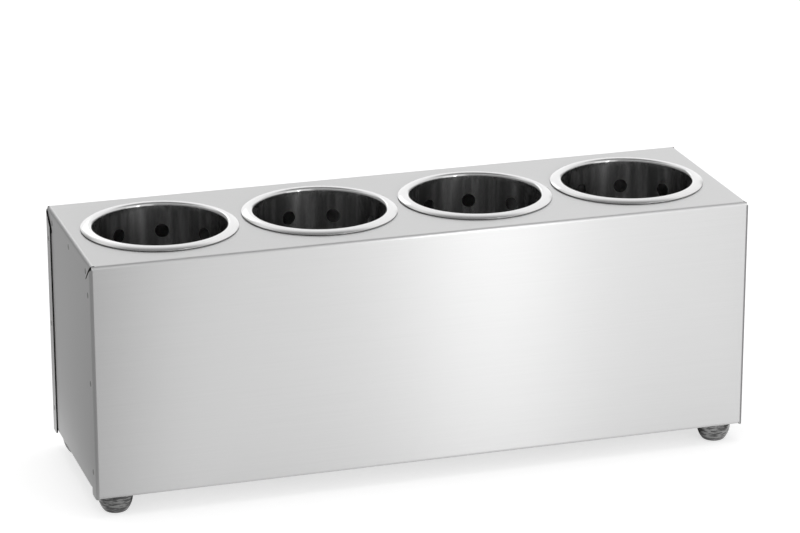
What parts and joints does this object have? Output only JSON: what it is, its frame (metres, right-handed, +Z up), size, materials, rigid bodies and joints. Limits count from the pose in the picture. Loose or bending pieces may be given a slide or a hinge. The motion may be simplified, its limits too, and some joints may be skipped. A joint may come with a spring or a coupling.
{
  "type": "cutlery dispenser",
  "caption": "Free-standing box folded from brushed steel sheet, with a row of perforated lift-out cutlery cups hung by domed rims in its top, on rounded rubber feet.",
  "frame": {"origin": "centre of the footprint, at the height of the surface that the feet stand on", "axes": "+X along the row of cups to the right as seen from the front, +Y to the back, +Z up"},
  "size_m": [0.495, 0.148, 0.1923],
  "materials": {
    "brushed_steel": "stainless sheet, fine brushing along the row on the front and the top",
    "polished_steel": "polished stainless steel",
    "mill_steel": "plain mill-finish stainless steel",
    "zinc_plated_steel": "bright zinc plating",
    "rubber": "smooth dark grey rubber with a wet-looking gloss"
  },
  "bodies": {
    "housing": {"housing_shell": "brushed_steel", "end_stiffener_left": "mill_steel", "end_stiffener_right": "mill_steel", "foot_front_left": "rubber", "foot_front_right": "rubber", "foot_rear_left": "rubber", "foot_rear_right": "rubber", "foot_washer_front_left": "zinc_plated_steel", "foot_washer_front_right": "zinc_plated_steel", "foot_washer_rear_left": "zinc_plated_steel", "foot_washer_rear_right": "zinc_plated_steel", "foot_screw_front_left": "zinc_plated_steel", "foot_screw_front_right": "zinc_plated_steel", "foot_screw_rear_left": "zinc_plated_steel", "foot_screw_rear_right": "zinc_plated_steel", "foot_nut_front_left": "zinc_plated_steel", "foot_nut_front_right": "zinc_plated_steel", "foot_nut_rear_left": "zinc_plated_steel", "foot_nut_rear_right": "zinc_plated_steel"},
    "cup_body_1": {"cup_1": "polished_steel"},
    "cup_body_2": {"cup_2": "polished_steel"},
    "cup_body_3": {"cup_3": "polished_steel"},
    "cup_body_4": {"cup_4": "polished_steel"}
  },
  "joints": [
    {"name": "cup_1_lift", "type": "slide", "parent": "housing", "child": "cup_body_1", "axis": [0, 0, 1], "range_m": [0, 0.15]},
    {"name": "cup_2_lift", "type": "slide", "parent": "housing", "child": "cup_body_2", "axis": [0, 0, 1], "range_m": [0, 0.15]},
    {"name": "cup_3_lift", "type": "slide", "parent": "housing", "child": "cup_body_3", "axis": [0, 0, 1], "range_m": [0, 0.15]},
    {"name": "cup_4_lift", "type": "slide", "parent": "housing", "child": "cup_body_4", "axis": [0, 0, 1], "range_m": [0, 0.15]}
  ]
}
